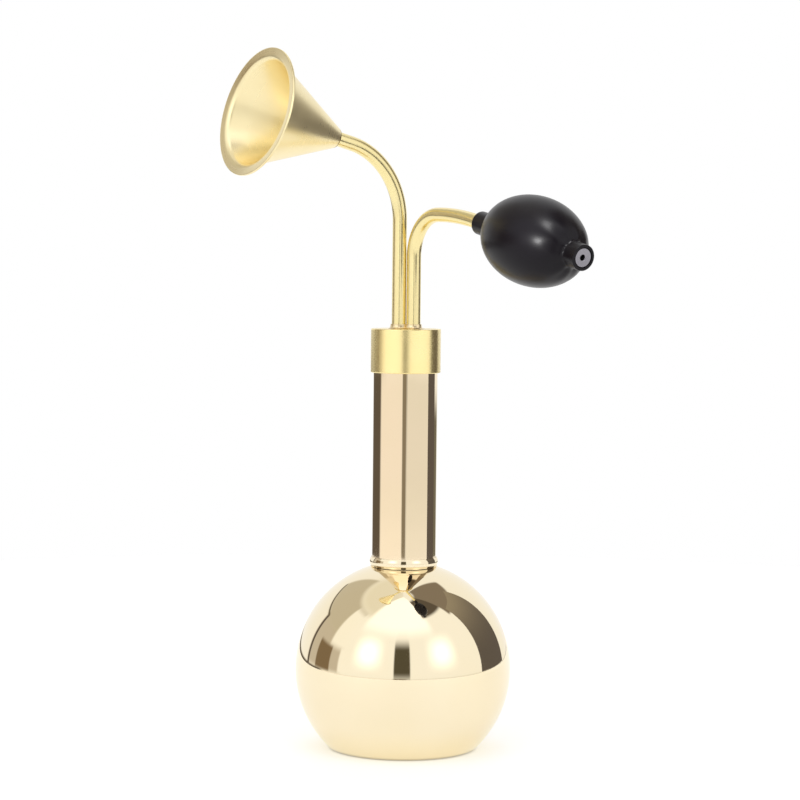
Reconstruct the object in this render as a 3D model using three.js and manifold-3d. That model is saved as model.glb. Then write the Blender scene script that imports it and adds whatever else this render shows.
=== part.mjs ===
// Scent-testing flask: a spun brass bowl with a straight neck, and a screw cap that carries two bent tubes.
// Squeezing the rubber bulb pumps air down the dip tube, and scented air leaves by the cone horn.
// Millimetres, +Z up. The origin is the centre of the flat base. The horn points to -X and the bulb to -Y.
import * as THREE from "three";
import { mergeVertices } from "three/addons/utils/BufferGeometryUtils.js";
import Module from "manifold-3d";

const wasm = await Module();
wasm.setup();

// Gaps between pieces
const slipGap = 0.1; // brazed or pressed fits about an upright axis
const slantGap = 0.3; // fits about the slanted axes of the horn and the bulb
const solderGap = 0.15; // round the tubes where they pass the cap

// Bowl: a ball with a flat base, spun as two halves that meet at the equator
const bowlRadius = 45.5;
const bowlCentreHeight = 33.5;
const bowlWall = 0.9;
const bowlFloor = 1.0;
const baseEdge = 1.6; // width of the rounded edge of the flat base

// Neck tube, its bead and the threaded finish inside the cap
const neckRadius = 13.5;
const neckWall = 0.9;
const neckShown = 81.8; // from the bowl to the underside of the cap
const neckTuck = 1.0; // how far the tube reaches past the bowl's inner face
const beadHeight = 4.0;
const beadLand = 0.35; // square edge of the bead next to the tube
const beadBulge = 0.9;
const finishInset = 0.5; // thread crest inside the neck's outer radius
const finishWall = 1.6;
const finishSpigot = 6.0;
const finishFlange = 1.0;

// Cap
const capWall = 0.95; // skirt at its mouth
const capHeight = 18.4;
const capTopThickness = 2.6;
const capChamfer = 0.4;
const skirtGap = 0.25; // between the skirt and the neck tube
const skirtOverlap = 2.6; // neck tube inside the plain mouth of the skirt
const gasketThickness = 2.0;
const gasketEdgeGap = 0.4;

// Two-start right-hand thread
const threadStarts = 2;
const threadLead = 5.0;
const threadTurn = 0.75 * 2 * Math.PI; // angle that each ridge covers
const threadDepth = 0.8;
const threadRootWidth = 1.2;
const threadCrestWidth = 0.6;
const threadGap = 0.3;
const threadRunIn = 0.4; // bare cylinder between the flange and the first ridge
const ridgeRoot = 0.25; // part of a ridge that is sunk into its wall

// Tubes
const tubeRadius = 3.0;
const tubeWall = 0.8;
const tubeGap = 0.2;
const solderWidth = 1.5;
const solderHeight = 1.8;
const solderTopWidth = 0.45;
const hornTubeRise = 45.5; // from the cap to the bend
const hornBendRadius = 32.1;
const hornElevation = THREE.MathUtils.degToRad(14);
const hornTubeStub = 0.8; // below the cap's ceiling
const hornTubeLead = 7.9; // straight run from the bend to the horn
const hornTubeEnd = 5.0; // straight end inside the horn
const pumpTubeRise = 30.4;
const pumpBendRadius = 17.2;
const pumpRun = 26.0;
const pumpDroop = THREE.MathUtils.degToRad(11.5);
const pumpTubeStub = 9.5;
const pumpTubeLead = 4.8; // straight run from the bend to the bulb
const pumpTubeEnd = 4.5; // straight end inside the bulb's neck
const dipTubeWall = 1.0;
const dipTubeDrop = 2.0; // top of the dip tube below the cap's ceiling
const dipTubeLift = 5.0; // lower end above the pad

// Horn
const hornLength = 39.6;
const hornMouthRadius = 26.7;
const hornLipWidth = 3.4;
const hornLipThickness = 1.2;
const hornLipDish = 0.5;
const hornFlareWidth = 1.2; // the cone opens out this much behind the lip
const hornFlareDepth = 0.9;
const hornWall = 0.8;
const socketWall = 0.5; // thinnest part of the sleeve in the throat
const socketPastTube = 1.0;

// Bulb and its two valves
const bulbNeckLength = 10.0;
const bulbNeckWall = 1.5;
const bulbRadius = 17.9;
const bulbHalfLength = 26.35;
const bulbNoseLength = 5.7;
const bulbNoseLip = 1.15; // rubber round the valve disc
const bulbWall = 2.0;
const bulbFillet = 2.2;
const valveFlangeWidth = 0.7;
const valveFlangeThickness = 1.0;
const valveSeatThickness = 2.0;
const valveWall = 1.1;
const valveSeatWidth = 0.45; // overlap of ball and seat
const valveBallGap = 0.4; // round the ball in its chamber
const valveBallTravel = 0.9;
const retainerThickness = 1.2;
const retainerRecess = 0.6;
const retainerSlotWidth = 0.9;
const retainerRim = 0.4;
const outletValveGap = 0.5; // between the pump tube's end and the outlet valve
const inletValveRecess = 0.2; // valve disc behind the end of the nose

// Scent pad
const padMargin = 10.5; // bare floor round the pad
const padThickness = 6.0;
const padEdge = 1.0;

// Fineness of the round faces
const wideSides = 36;
const bulbSides = 28;
const smallSides = 18;
const tubeSides = 12;
const arcSteps = 5; // each arc of an outline has twice as many steps
const tubeStepLength = 4.0;
const ridgeSteps = Math.round((threadTurn * wideSides) / (2 * Math.PI)); // in step with the walls

const brass = new THREE.MeshStandardMaterial({ color: 0xe9d196, metalness: 1, roughness: 0.1 });
const roseBrass = new THREE.MeshStandardMaterial({ color: 0xe6c69a, metalness: 1, roughness: 0.1 });
const satinBrass = new THREE.MeshStandardMaterial({ color: 0xe5cd88, metalness: 1, roughness: 0.3 });
const solder = new THREE.MeshStandardMaterial({ color: 0xd8bd80, metalness: 1, roughness: 0.4 });
const steel = new THREE.MeshStandardMaterial({ color: 0xc9c7cb, metalness: 1, roughness: 0.25 });
const blackRubber = new THREE.MeshStandardMaterial({ color: 0x1d1b1e, metalness: 0, roughness: 0.45 });
const milkyPlastic = new THREE.MeshStandardMaterial({ color: 0xe4e2da, metalness: 0, roughness: 0.4 });
const felt = new THREE.MeshStandardMaterial({ color: 0xe3dac6, metalness: 0, roughness: 0.95 });

// Heights and radii that follow from the driving dimensions
const bowlInside = bowlRadius - bowlWall;
const neckHoleRadius = neckRadius + slipGap;
const onBall = (ballRadius, radius) => bowlCentreHeight + Math.sqrt(ballRadius ** 2 - radius ** 2);
const neckFoot = onBall(bowlRadius, neckHoleRadius);
const capUnderside = neckFoot + neckShown;
const capTop = capUnderside + capHeight;
const capCeiling = capTop - capTopThickness;
const neckTop = capUnderside + skirtOverlap;
const skirtRadius = neckRadius + skirtGap;
const capRadius = skirtRadius + capWall;
const gasketBottom = capCeiling - slipGap - gasketThickness;
const finishTop = gasketBottom - slipGap;
const finishShoulder = neckTop + slipGap + finishFlange;
const finishCrest = neckRadius - finishInset;
const finishRoot = finishCrest - threadDepth;
const finishBore = finishRoot - finishWall;
const capThreadRoot = finishCrest + threadGap;
const ridgeStart = finishShoulder + threadRunIn + threadRootWidth / 2;
const ridgeSpacing = threadLead / threadStarts;
const tubeBore = tubeRadius - tubeWall;
const tubeOffset = (tubeRadius + tubeGap / 2) / Math.SQRT2;
const floorRadius = Math.sqrt(bowlInside ** 2 - (bowlCentreHeight - bowlFloor) ** 2);
const padRadius = floorRadius - padMargin;
const padTop = bowlFloor + slipGap + padThickness;
const throatInside = tubeRadius + slantGap;
// The valves have the tube's outer radius, so that one bore takes both.
const valveRadius = tubeRadius;
const valveBore = valveRadius + slantGap;
const valveFlangeRadius = valveRadius + valveFlangeWidth;
const flangeBore = valveFlangeRadius + slantGap;
const valveChamberRadius = valveRadius - valveWall;
const valveBallRadius = valveChamberRadius - valveBallGap;
const valveHoleRadius = valveBallRadius - valveSeatWidth;
const ballOnSeat = slipGap + Math.sqrt(valveBallRadius ** 2 - valveHoleRadius ** 2);
const retainerDrop = ballOnSeat + valveBallRadius + valveBallTravel + slipGap; // its face below the seat
const valveLength = valveSeatThickness + retainerDrop + retainerThickness + retainerRecess;
const bulbNeckRadius = valveBore + bulbNeckWall;
const bulbNoseRadius = flangeBore + bulbNoseLip;
const bulbLength = bulbNeckLength + 2 * bulbHalfLength + bulbNoseLength;

// A closed mesh as a manifold-3d solid.
function solidOf(geometry) {
  const bare = geometry.clone();
  bare.deleteAttribute("normal");
  bare.deleteAttribute("uv");
  const merged = mergeVertices(bare, 1e-4);
  return new wasm.Manifold(
    new wasm.Mesh({
      numProp: 3,
      vertProperties: merged.attributes.position.array,
      triVerts: new Uint32Array(merged.index.array),
    }),
  );
}

// A manifold-3d solid as a geometry.
function geometryOf(solid) {
  const mesh = solid.getMesh();
  return new THREE.BufferGeometry()
    .setAttribute("position", new THREE.BufferAttribute(mesh.vertProperties, 3))
    .setIndex(new THREE.BufferAttribute(mesh.triVerts, 1));
}

// An outline of (radius, height), drawn counter-clockwise, turned about +Z.
function turned(outline, sides) {
  return new THREE.LatheGeometry(outline.getPoints(arcSteps), sides).rotateX(Math.PI / 2);
}

// A closed outline through straight corners.
function corners(...points) {
  const outline = new THREE.Path(points.map(([radius, height]) => new THREE.Vector2(radius, height)));
  outline.closePath();
  return outline;
}

// A plain sleeve about +Z.
function sleeve(inner, outer, bottom, top, sides) {
  return turned(corners([inner, bottom], [outer, bottom], [outer, top], [inner, top]), sides);
}

// A solid round bar that stands on (x, y), to cut holes with.
function bar(x, y, radius, bottom, top) {
  const height = top - bottom;
  return new THREE.CylinderGeometry(radius, radius, height, smallSides)
    .rotateX(Math.PI / 2)
    .translate(x, y, bottom + height / 2);
}

function piece(name, geometry, material) {
  const mesh = new THREE.Mesh(geometry, material);
  mesh.name = name;
  return mesh;
}

// A helical ridge of trapezoid section, from the buried root to the crest.
function threadRidge(rootRadius, crestRadius, startAngle, startHeight) {
  const outward = Math.sign(crestRadius - rootRadius);
  const section = [
    [rootRadius - outward * ridgeRoot, -threadRootWidth / 2],
    [rootRadius, -threadRootWidth / 2],
    [crestRadius, -threadCrestWidth / 2],
    [crestRadius, threadCrestWidth / 2],
    [rootRadius, threadRootWidth / 2],
    [rootRadius - outward * ridgeRoot, threadRootWidth / 2],
  ];
  const positions = [];
  const triangles = [];
  const count = section.length;
  for (let step = 0; step <= ridgeSteps; step++) {
    const turn = (threadTurn * step) / ridgeSteps;
    const lift = startHeight + (threadLead * turn) / (2 * Math.PI);
    for (const [radius, height] of section) {
      const angle = startAngle + turn;
      positions.push(radius * Math.cos(angle), radius * Math.sin(angle), lift + height);
    }
  }
  // The section runs the other way round on a ridge that points inwards.
  const face = (a, b, c) => triangles.push(...(outward > 0 ? [a, b, c] : [a, c, b]));
  for (let step = 0; step < ridgeSteps; step++) {
    for (let corner = 0; corner < count; corner++) {
      const a = step * count + corner;
      const b = step * count + ((corner + 1) % count);
      face(a, a + count, b);
      face(b, a + count, b + count);
    }
  }
  const last = ridgeSteps * count;
  for (let corner = 1; corner < count - 1; corner++) {
    face(0, corner, corner + 1);
    face(last, last + corner + 1, last + corner);
  }
  return new THREE.BufferGeometry()
    .setAttribute("position", new THREE.Float32BufferAttribute(positions, 3))
    .setIndex(triangles);
}

// The thread's ridges joined to the wall that carries them.
function withThread(wall, rootRadius, crestRadius, startHeight) {
  let joined = solidOf(wall);
  for (let start = 0; start < threadStarts; start++) {
    const angle = (2 * Math.PI * start) / threadStarts;
    joined = joined.add(solidOf(threadRidge(rootRadius, crestRadius, angle, startHeight)));
  }
  return joined;
}

// A tube's centre line in the upright plane of one bearing.
// It starts upwards, and each stretch turns it further over.
class TubeLine extends THREE.Curve {
  constructor(foot, bearing, stretches) {
    super();
    this.foot = foot;
    this.bearing = bearing;
    this.stretches = stretches;
    this.reach = stretches.reduce((sum, stretch) => sum + stretch.length, 0);
    this.tilt = stretches.reduce((sum, stretch) => sum + stretch.turn, 0);
  }

  // The point at a distance along the line.
  at(distance) {
    let left = distance;
    let tilt = 0;
    let out = 0;
    let up = 0;
    for (const { length, turn } of this.stretches) {
      const run = Math.min(left, length);
      const bend = (turn * run) / length;
      if (turn === 0) {
        out += run * Math.sin(tilt);
        up += run * Math.cos(tilt);
      } else {
        const radius = length / turn;
        out += radius * (Math.cos(tilt) - Math.cos(tilt + bend));
        up += radius * (Math.sin(tilt + bend) - Math.sin(tilt));
      }
      tilt += bend;
      left -= run;
    }
    const ahead = new THREE.Vector3(Math.cos(this.bearing), Math.sin(this.bearing), 0);
    return this.foot.clone().addScaledVector(ahead, out).add(new THREE.Vector3(0, 0, up));
  }

  getPoint(t, target = new THREE.Vector3()) {
    return target.copy(this.at(t * this.reach));
  }

  // A group whose origin lies at a distance along the line and whose +Z is the line's last direction.
  seat(distance) {
    const group = new THREE.Group();
    const over = Math.sin(this.tilt);
    const aim = new THREE.Vector3(
      over * Math.cos(this.bearing),
      over * Math.sin(this.bearing),
      Math.cos(this.tilt),
    );
    group.position.copy(this.at(distance));
    group.quaternion.setFromUnitVectors(new THREE.Vector3(0, 0, 1), aim);
    return group;
  }
}

// A hollow tube along its centre line.
function bentTube(line) {
  const ring = new THREE.Shape().absarc(0, 0, tubeRadius, 0, 2 * Math.PI);
  ring.holes.push(new THREE.Path().absarc(0, 0, tubeBore, 0, 2 * Math.PI, true));
  return new THREE.ExtrudeGeometry(ring, {
    extrudePath: line,
    steps: Math.round(line.reach / tubeStepLength),
    curveSegments: tubeSides / 2,
  });
}

const hornTubeX = -tubeOffset;
const hornTubeY = tubeOffset;
const pumpTubeX = tubeOffset;
const pumpTubeY = -tubeOffset;

const hornTurn = Math.PI / 2 - hornElevation;
const hornLine = new TubeLine(
  new THREE.Vector3(hornTubeX, hornTubeY, capCeiling - hornTubeStub),
  Math.PI,
  [
    { length: hornTubeStub + capTopThickness + hornTubeRise, turn: 0 },
    { length: hornBendRadius * hornTurn, turn: hornTurn },
    { length: hornTubeLead + hornTubeEnd, turn: 0 },
  ],
);
const pumpLine = new TubeLine(
  new THREE.Vector3(pumpTubeX, pumpTubeY, capCeiling - pumpTubeStub),
  -Math.PI / 2,
  [
    { length: pumpTubeStub + capTopThickness + pumpTubeRise, turn: 0 },
    { length: (pumpBendRadius * Math.PI) / 2, turn: Math.PI / 2 },
    { length: pumpRun, turn: pumpDroop },
    { length: pumpTubeLead + pumpTubeEnd, turn: 0 },
  ],
);

// Lower half of the bowl, with the flat base.
function bowlLower() {
  const baseRadius = Math.sqrt(bowlRadius ** 2 - bowlCentreHeight ** 2);
  const edgeAngle = -Math.asin(bowlCentreHeight / bowlRadius) + baseEdge / bowlRadius;
  const edgeX = bowlRadius * Math.cos(edgeAngle);
  const edgeZ = bowlCentreHeight + bowlRadius * Math.sin(edgeAngle);
  const floorAngle = -Math.asin((bowlCentreHeight - bowlFloor) / bowlInside);
  const outline = new THREE.Path();
  outline.moveTo(0, 0);
  outline.lineTo(baseRadius - baseEdge, 0);
  outline.quadraticCurveTo(baseRadius, 0, edgeX, edgeZ);
  outline.absarc(0, bowlCentreHeight, bowlRadius, edgeAngle, 0, false);
  outline.absarc(0, bowlCentreHeight, bowlInside, 0, floorAngle, true);
  outline.lineTo(0, bowlFloor);
  return piece("bowl_lower", turned(outline, wideSides), brass);
}

// Upper half of the bowl, with the hole for the neck.
function bowlUpper() {
  const seam = (radius) => Math.asin(slipGap / radius);
  const outline = new THREE.Path();
  const holeAngle = (radius) => Math.acos(neckHoleRadius / radius);
  outline.absarc(0, bowlCentreHeight, bowlRadius, seam(bowlRadius), holeAngle(bowlRadius), false);
  outline.absarc(0, bowlCentreHeight, bowlInside, holeAngle(bowlInside), seam(bowlInside), true);
  outline.closePath();
  return piece("bowl_upper", turned(outline, wideSides), brass);
}

function neckTube() {
  const bottom = onBall(bowlInside, neckHoleRadius) - neckTuck;
  const tube = sleeve(neckRadius - neckWall, neckRadius, bottom, neckTop, wideSides);
  return piece("neck_tube", tube, roseBrass);
}

// Half-round bead that hides the joint of neck and bowl.
function neckBead() {
  const inner = neckRadius + slipGap;
  const bottom = neckFoot + slipGap;
  const top = bottom + beadHeight;
  const crown = inner + beadLand + 2 * (beadBulge - beadLand);
  const outline = new THREE.Path();
  outline.moveTo(inner, bottom);
  outline.lineTo(inner + beadLand, bottom);
  outline.quadraticCurveTo(crown, (bottom + top) / 2, inner + beadLand, top);
  outline.lineTo(inner, top);
  outline.closePath();
  return piece("neck_bead", turned(outline, wideSides), brass);
}

// Threaded bush brazed into the top of the neck.
function neckFinish() {
  const spigot = neckRadius - neckWall - slipGap;
  const wall = turned(
    corners(
      [finishBore, neckTop - finishSpigot],
      [spigot, neckTop - finishSpigot],
      [spigot, neckTop + slipGap],
      [neckRadius, neckTop + slipGap],
      [neckRadius, finishShoulder],
      [finishRoot, finishShoulder],
      [finishRoot, finishTop],
      [finishBore, finishTop],
    ),
    wideSides,
  );
  return piece("neck_finish", geometryOf(withThread(wall, finishRoot, finishCrest, ridgeStart)), brass);
}

// Felt pad on the floor of the bowl.
function scentPad() {
  const bottom = bowlFloor + slipGap;
  const outline = new THREE.Path();
  outline.moveTo(0, bottom);
  outline.lineTo(padRadius - padEdge, bottom);
  outline.quadraticCurveTo(padRadius, bottom, padRadius, bottom + padEdge);
  outline.lineTo(padRadius, padTop - padEdge);
  outline.quadraticCurveTo(padRadius, padTop, padRadius - padEdge, padTop);
  outline.lineTo(0, padTop);
  return piece("scent_pad", turned(outline, smallSides), felt);
}

// Both tubes' holes as one cutter.
function tubeHoles(bottom, top) {
  const radius = tubeRadius + solderGap;
  const hornHole = solidOf(bar(hornTubeX, hornTubeY, radius, bottom, top));
  return hornHole.add(solidOf(bar(pumpTubeX, pumpTubeY, radius, bottom, top)));
}

function cap() {
  const mouthTop = finishShoulder + slipGap;
  const wall = turned(
    corners(
      [skirtRadius, capUnderside],
      [capRadius - capChamfer, capUnderside],
      [capRadius, capUnderside + capChamfer],
      [capRadius, capTop - capChamfer],
      [capRadius - capChamfer, capTop],
      [0, capTop],
      [0, capCeiling],
      [capThreadRoot, capCeiling],
      [capThreadRoot, mouthTop],
      [skirtRadius, mouthTop],
    ),
    wideSides,
  );
  const ridged = withThread(wall, capThreadRoot, finishRoot + threadGap, ridgeStart + ridgeSpacing / 2);
  const holes = tubeHoles(capCeiling - capTopThickness, capTop + capTopThickness);
  return piece("cap", geometryOf(ridged.subtract(holes)), satinBrass);
}

function capGasket() {
  const outer = capThreadRoot - gasketEdgeGap;
  const ring = sleeve(finishBore, outer, gasketBottom, gasketBottom + gasketThickness, wideSides);
  return piece("cap_gasket", ring, blackRubber);
}

// Hollow-sided fillet of solder round the feet of both tubes.
function tubeSolder() {
  const bottom = capTop + slipGap;
  const top = bottom + solderHeight;
  const cone = (x, y) => {
    const outline = new THREE.Path();
    outline.moveTo(0, bottom);
    outline.lineTo(tubeRadius + solderWidth, bottom);
    outline.quadraticCurveTo(tubeRadius + solderTopWidth, bottom, tubeRadius + solderTopWidth, top);
    outline.lineTo(0, top);
    return solidOf(turned(outline, smallSides).translate(x, y, 0));
  };
  const both = cone(hornTubeX, hornTubeY).add(cone(pumpTubeX, pumpTubeY));
  const fillet = both.subtract(tubeHoles(bottom - solderHeight, top + solderHeight));
  return piece("tube_solder", geometryOf(fillet), solder);
}

// Stiff plastic tube pushed on to the pump tube's lower end.
function dipTube() {
  const inner = tubeRadius + slipGap;
  const bottom = padTop + dipTubeLift;
  const tube = sleeve(inner, inner + dipTubeWall, bottom, capCeiling - dipTubeDrop, smallSides);
  return piece("dip_tube", tube.translate(pumpTubeX, pumpTubeY, 0), milkyPlastic);
}

// Cone horn with a short flare and a flat lip, and its sleeve on the tube. Its origin is the throat.
function horn() {
  const group = hornLine.seat(hornLine.reach - hornTubeEnd);
  const mouthInside = hornMouthRadius - hornLipWidth;
  const coneInside = mouthInside - hornFlareWidth;
  const lipBack = hornLength - hornLipThickness;
  const lipInside = hornLength - hornLipDish;
  const flareStart = lipInside - hornFlareDepth;
  const slope = (coneInside - throatInside) / flareStart;
  const insideAt = (height) => throatInside + slope * height;
  const bell = corners(
    [throatInside, 0],
    [throatInside + hornWall, 0],
    [insideAt(lipBack) + hornWall, lipBack],
    [hornMouthRadius, lipBack],
    [hornMouthRadius, hornLength],
    [mouthInside, lipInside],
    [coneInside, flareStart],
  );
  const socketStart = (slantGap + socketWall) / slope;
  const socketEnd = hornTubeEnd + socketPastTube;
  const socket = corners(
    [throatInside, socketStart],
    [insideAt(socketStart) - slantGap, socketStart],
    [insideAt(socketEnd) - slantGap, socketEnd],
    [throatInside, socketEnd],
  );
  group.add(piece("horn", turned(bell, wideSides), satinBrass));
  group.add(piece("horn_socket", turned(socket, smallSides), brass));
  return group;
}

// Hollow rubber bulb: neck, egg and nose, with a bore at each end.
function bulbShell() {
  const centre = bulbNeckLength + bulbHalfLength;
  const recess = inletValveRecess + valveFlangeThickness + slantGap;
  const insideRadius = bulbRadius - bulbWall;
  const insideHalf = bulbHalfLength - bulbWall;
  const angleAt = (radius, wide) => Math.acos(radius / wide);
  const neckAngle = -angleAt(bulbNeckRadius + bulbFillet, bulbRadius);
  const noseAngle = angleAt(bulbNoseRadius + bulbFillet, bulbRadius);
  const heightAt = (angle) => centre + bulbHalfLength * Math.sin(angle);
  const outline = new THREE.Path();
  outline.moveTo(valveBore, 0);
  outline.lineTo(bulbNeckRadius, 0);
  outline.lineTo(bulbNeckRadius, heightAt(neckAngle) - bulbFillet);
  outline.quadraticCurveTo(
    bulbNeckRadius,
    heightAt(-angleAt(bulbNeckRadius, bulbRadius)),
    bulbNeckRadius + bulbFillet,
    heightAt(neckAngle),
  );
  outline.absellipse(0, centre, bulbRadius, bulbHalfLength, neckAngle, noseAngle, false);
  outline.quadraticCurveTo(
    bulbNoseRadius,
    heightAt(angleAt(bulbNoseRadius, bulbRadius)),
    bulbNoseRadius,
    heightAt(noseAngle) + bulbFillet,
  );
  outline.lineTo(bulbNoseRadius, bulbLength);
  outline.lineTo(flangeBore, bulbLength);
  outline.lineTo(flangeBore, bulbLength - recess);
  outline.lineTo(valveBore, bulbLength - recess);
  const boreAngle = angleAt(valveBore, insideRadius);
  outline.absellipse(0, centre, insideRadius, insideHalf, boreAngle, -boreAngle, true);
  outline.closePath();
  return piece("bulb", turned(outline, bulbSides), blackRubber);
}

// Ball check valve that lets air pass towards -Z.
// It is a body, a ball on its seat, and the slotted disc that keeps the ball in.
function checkValve(name, outerEnd, flangeRadius) {
  const seat = outerEnd - valveSeatThickness;
  const innerEnd = outerEnd - valveLength;
  const retainerBottom = innerEnd + retainerRecess;
  const retainerTop = retainerBottom + retainerThickness;
  const body = corners(
    [valveChamberRadius, innerEnd],
    [valveRadius, innerEnd],
    [valveRadius, outerEnd - valveFlangeThickness],
    [flangeRadius, outerEnd - valveFlangeThickness],
    [flangeRadius, outerEnd],
    [valveHoleRadius, outerEnd],
    [valveHoleRadius, seat],
    [valveChamberRadius, seat],
  );
  const ball = new THREE.SphereGeometry(valveBallRadius, smallSides, arcSteps * 2);
  const retainerRadius = valveChamberRadius - slipGap;
  const disc = bar(0, 0, retainerRadius, retainerBottom, retainerTop);
  const slotLength = 2 * (retainerRadius - retainerRim);
  const slot = new THREE.BoxGeometry(slotLength, retainerSlotWidth, 4 * retainerThickness);
  const slotted = solidOf(disc).subtract(solidOf(slot.translate(0, 0, retainerTop)));
  return [
    piece(`${name}_body`, turned(body, smallSides), steel),
    piece(`${name}_ball`, ball.translate(0, 0, seat - ballOnSeat), blackRubber),
    piece(`${name}_retainer`, geometryOf(slotted), steel),
  ];
}

// Bulb with its valves, in line with the pump tube's end. Its origin is the open end of the bulb's neck.
function bulb() {
  const group = pumpLine.seat(pumpLine.reach - pumpTubeEnd);
  const outletEnd = pumpTubeEnd + outletValveGap + valveLength;
  group.add(bulbShell());
  group.add(...checkValve("outlet_valve", outletEnd, valveRadius));
  group.add(...checkValve("inlet_valve", bulbLength - inletValveRecess, valveFlangeRadius));
  return group;
}

const flask = new THREE.Group();
flask.add(bowlLower(), bowlUpper(), neckTube(), neckBead(), neckFinish(), scentPad());
flask.add(cap(), capGasket(), tubeSolder(), dipTube());
flask.add(piece("horn_tube", bentTube(hornLine), brass), piece("pump_tube", bentTube(pumpLine), brass));
flask.add(horn(), bulb());

export default flask;
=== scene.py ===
"""Dresses a horn-and-bulb scent flask in brass, rubber and steel, and sets it in a white studio.

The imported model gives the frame: metres, +Z up, with the flask's flat base on the floor at the origin.
The horn points to -X and the squeeze bulb to -Y.
"""

import functools
import logging
import math
from dataclasses import dataclass, replace
from enum import Enum
from typing import Callable, Optional, Sequence, Union

import bmesh
import bpy
from mathutils import Matrix, Vector


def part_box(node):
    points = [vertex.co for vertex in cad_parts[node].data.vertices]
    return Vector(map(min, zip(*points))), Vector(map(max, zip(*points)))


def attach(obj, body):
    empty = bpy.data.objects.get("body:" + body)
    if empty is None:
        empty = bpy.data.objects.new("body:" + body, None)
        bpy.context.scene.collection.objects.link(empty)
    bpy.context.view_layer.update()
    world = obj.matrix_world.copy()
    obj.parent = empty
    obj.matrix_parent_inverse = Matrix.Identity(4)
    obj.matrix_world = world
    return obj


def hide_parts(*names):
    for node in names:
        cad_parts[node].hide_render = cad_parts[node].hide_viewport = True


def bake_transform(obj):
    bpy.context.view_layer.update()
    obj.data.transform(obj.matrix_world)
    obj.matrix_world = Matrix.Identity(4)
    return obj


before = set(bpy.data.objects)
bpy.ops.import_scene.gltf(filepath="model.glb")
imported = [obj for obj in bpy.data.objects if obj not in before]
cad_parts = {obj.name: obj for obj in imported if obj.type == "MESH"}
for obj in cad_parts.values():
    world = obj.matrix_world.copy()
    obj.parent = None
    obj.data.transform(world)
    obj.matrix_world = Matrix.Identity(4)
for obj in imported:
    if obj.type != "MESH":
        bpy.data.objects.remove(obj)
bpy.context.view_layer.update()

log = logging.getLogger("scent_flask")

Point = tuple[float, float]
Place = tuple[float, float, float]
Colour = tuple[float, float, float]
Value = Union["Wire", float, Colour]
Sockets = dict[Union[str, int], Value]
Relief = Callable[[float, float, float], float]

SLIP_GAP = 0.0001  # brazed or pressed fits about the upright axis
SLANT_GAP = 0.0003  # fits about the slanted axes of the horn and the bulb
WIDE_SIDES = 128
SMALL_SIDES = 64
FULL_TURN = 2 * math.pi
UPWARDS: Place = (0.0, 0.0, 1.0)


class Slot(Enum):
    """The record's material slots."""

    POLISHED_BRASS = "polished_brass"
    ROSE_BRASS = "rose_brass"
    SATIN_BRASS = "satin_brass"
    TUBE_BRASS = "tube_brass"
    SOLDER = "solder"
    BLACK_RUBBER = "black_rubber"
    VALVE_STEEL = "valve_steel"
    MILKY_PLASTIC = "milky_plastic"
    FELT = "felt"


class Body(Enum):
    """The bodies that the pieces ride on."""

    FLASK = "flask"
    GASKET = "gasket"
    CAP = "cap_group"
    BULB_END = "bulb_end"


class Join(Enum):
    """How one solid is joined to another."""

    ADD = "UNION"
    CUT = "DIFFERENCE"


class Grain(Enum):
    """The marks that a maker's tool leaves in metal."""

    BUFFED = "buffed"
    TURNED = "turned"
    DRAWN = "drawn"


class Wire:
    """An output socket of a shader tree, whose arithmetic adds Math nodes."""

    def __init__(self, bench: "Bench", socket: bpy.types.NodeSocket) -> None:
        """Keeps the socket and the bench that its tree is built on.

        Args:
            bench: the tree's bench.
            socket: the output socket.
        """
        self.bench = bench
        self.socket = socket

    def __add__(self, other: Value) -> "Wire":
        """Adds a value."""
        return self.bench.math("ADD", self, other)

    def __radd__(self, other: Value) -> "Wire":
        """Is added to a value."""
        return self.bench.math("ADD", other, self)

    def __sub__(self, other: Value) -> "Wire":
        """Takes a value away."""
        return self.bench.math("SUBTRACT", self, other)

    def __rsub__(self, other: Value) -> "Wire":
        """Is taken away from a value."""
        return self.bench.math("SUBTRACT", other, self)

    def __mul__(self, other: Value) -> "Wire":
        """Multiplies by a value."""
        return self.bench.math("MULTIPLY", self, other)

    def __rmul__(self, other: Value) -> "Wire":
        """Multiplies a value."""
        return self.bench.math("MULTIPLY", other, self)

    def __abs__(self) -> "Wire":
        """Drops the sign."""
        return self.bench.math("ABSOLUTE", self)


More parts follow.
